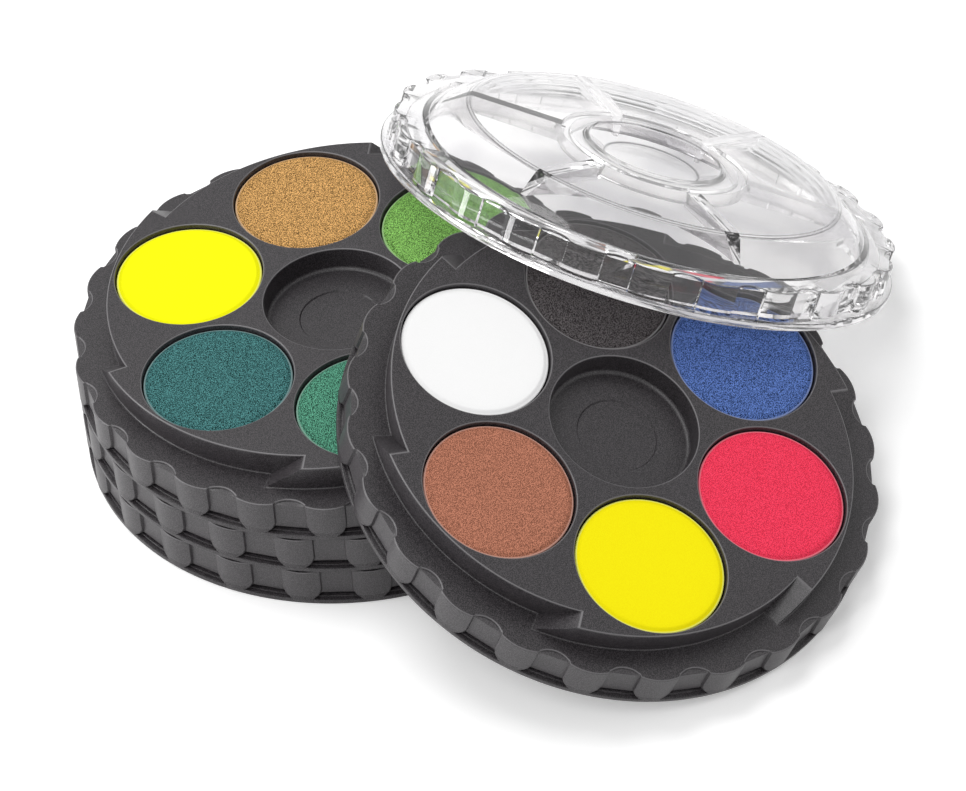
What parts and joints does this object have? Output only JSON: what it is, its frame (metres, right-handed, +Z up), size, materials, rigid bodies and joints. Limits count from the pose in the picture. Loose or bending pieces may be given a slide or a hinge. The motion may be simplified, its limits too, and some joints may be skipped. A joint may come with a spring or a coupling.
{
  "type": "watercolour paint set",
  "caption": "Round stacking watercolour set: black trays of round paint tablets that twist together, one tray and a clear lid leaning beside the stack.",
  "frame": {"origin": "middle of the whole footprint, on the table plane that the stack, the leaning tray and the lid stand on", "axes": "+Z up, +X from the stack towards the leaning tray, +Y towards the lid behind"},
  "size_m": [0.1746, 0.1692, 0.059],
  "materials": {
    "black_plastic": "moulded, satin, nearly black",
    "clear_plastic": "clear moulded polystyrene, glossy",
    "olive_paint": "pressed dry watercolour, matte and grainy",
    "sienna_paint": "pressed dry watercolour, matte and grainy",
    "umber_paint": "pressed dry watercolour, matte and grainy",
    "maroon_paint": "pressed dry watercolour, matte and grainy",
    "navy_paint": "pressed dry watercolour, matte and grainy",
    "grey_paint": "pressed dry watercolour, matte and grainy",
    "orange_paint": "pressed dry watercolour, matte and grainy",
    "vermilion_paint": "pressed dry watercolour, matte and grainy",
    "pink_paint": "pressed dry watercolour, matte and grainy",
    "purple_paint": "pressed dry watercolour, matte and grainy",
    "sky_blue_paint": "pressed dry watercolour, matte and grainy",
    "turquoise_paint": "pressed dry watercolour, matte and grainy",
    "yellow_paint": "pressed dry watercolour, matte and grainy",
    "teal_paint": "pressed dry watercolour, matte and grainy",
    "emerald_paint": "pressed dry watercolour, matte and grainy",
    "violet_paint": "pressed dry watercolour, matte and grainy",
    "grass_green_paint": "pressed dry watercolour, matte and grainy",
    "ochre_paint": "pressed dry watercolour, matte and grainy",
    "white_paint": "pressed dry watercolour, matte and grainy",
    "brown_paint": "pressed dry watercolour, matte and grainy",
    "lemon_paint": "pressed dry watercolour, matte and grainy",
    "red_paint": "pressed dry watercolour, matte and grainy",
    "blue_paint": "pressed dry watercolour, matte and grainy",
    "black_paint": "pressed dry watercolour, matte and grainy"
  },
  "bodies": {
    "bottom_tray": {"bottom_tray": "black_plastic", "bottom_olive_paint": "olive_paint", "bottom_sienna_paint": "sienna_paint", "bottom_umber_paint": "umber_paint", "bottom_maroon_paint": "maroon_paint", "bottom_navy_paint": "navy_paint", "bottom_grey_paint": "grey_paint"},
    "middle_tray": {"middle_tray": "black_plastic", "middle_orange_paint": "orange_paint", "middle_vermilion_paint": "vermilion_paint", "middle_pink_paint": "pink_paint", "middle_purple_paint": "purple_paint", "middle_sky_blue_paint": "sky_blue_paint", "middle_turquoise_paint": "turquoise_paint"},
    "top_tray": {"top_tray": "black_plastic", "top_yellow_paint": "yellow_paint", "top_teal_paint": "teal_paint", "top_emerald_paint": "emerald_paint", "top_violet_paint": "violet_paint", "top_grass_green_paint": "grass_green_paint", "top_ochre_paint": "ochre_paint"},
    "leaning_tray": {"leaning_tray": "black_plastic", "leaning_white_paint": "white_paint", "leaning_brown_paint": "brown_paint", "leaning_lemon_paint": "lemon_paint", "leaning_red_paint": "red_paint", "leaning_blue_paint": "blue_paint", "leaning_black_paint": "black_paint"},
    "lid": {"lid": "clear_plastic"}
  },
  "joints": [
    {"name": "middle_tray_twist", "type": "hinge", "parent": "bottom_tray", "child": "middle_tray", "pos_m": [-0.03218, -0.02939, 0.0118], "axis": [0, 0, 1], "range_deg": [-8.7, 0]},
    {"name": "top_tray_twist", "type": "hinge", "parent": "middle_tray", "child": "top_tray", "pos_m": [-0.03218, -0.02939, 0.0209], "axis": [0, 0, 1], "range_deg": [-2, 6.7]},
    {"name": "leaning_tray_lift", "type": "slide", "parent": "top_tray", "child": "leaning_tray", "axis": [0, 0, 1], "range_m": [0, 0.06]},
    {"name": "lid_lift", "type": "slide", "parent": "leaning_tray", "child": "lid", "axis": [0, 0, 1], "range_m": [0, 0.06]}
  ]
}
